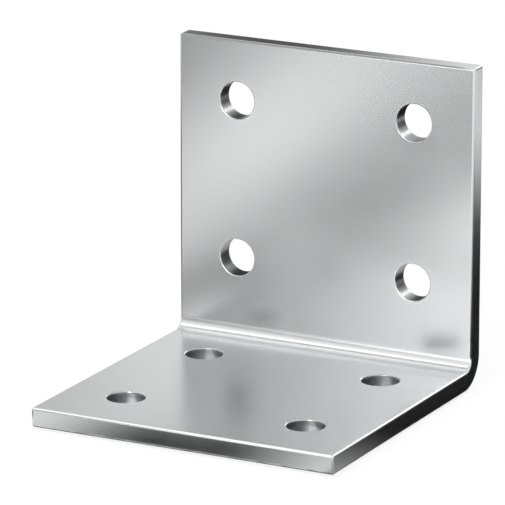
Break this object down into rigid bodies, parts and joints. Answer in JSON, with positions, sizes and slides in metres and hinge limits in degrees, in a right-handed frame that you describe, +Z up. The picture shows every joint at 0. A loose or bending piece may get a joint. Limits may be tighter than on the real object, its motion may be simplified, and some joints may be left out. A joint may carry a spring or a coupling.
{
  "type": "angle bracket",
  "caption": "Right-angle bracket folded from one zinc-plated steel plate, with plain round screw holes in both legs, for joining two members at a corner.",
  "frame": {"origin": "centre of the square that the bracket stands on, on the underside of the base", "axes": "+X along the fold, +Y from the base's free edge towards the rise's outer face, +Z up"},
  "size_m": [0.05, 0.05, 0.05],
  "materials": {
    "zinc_steel": "satin"
  },
  "bodies": {
    "root": {"angle_bracket": "zinc_steel"}
  },
  "joints": []
}
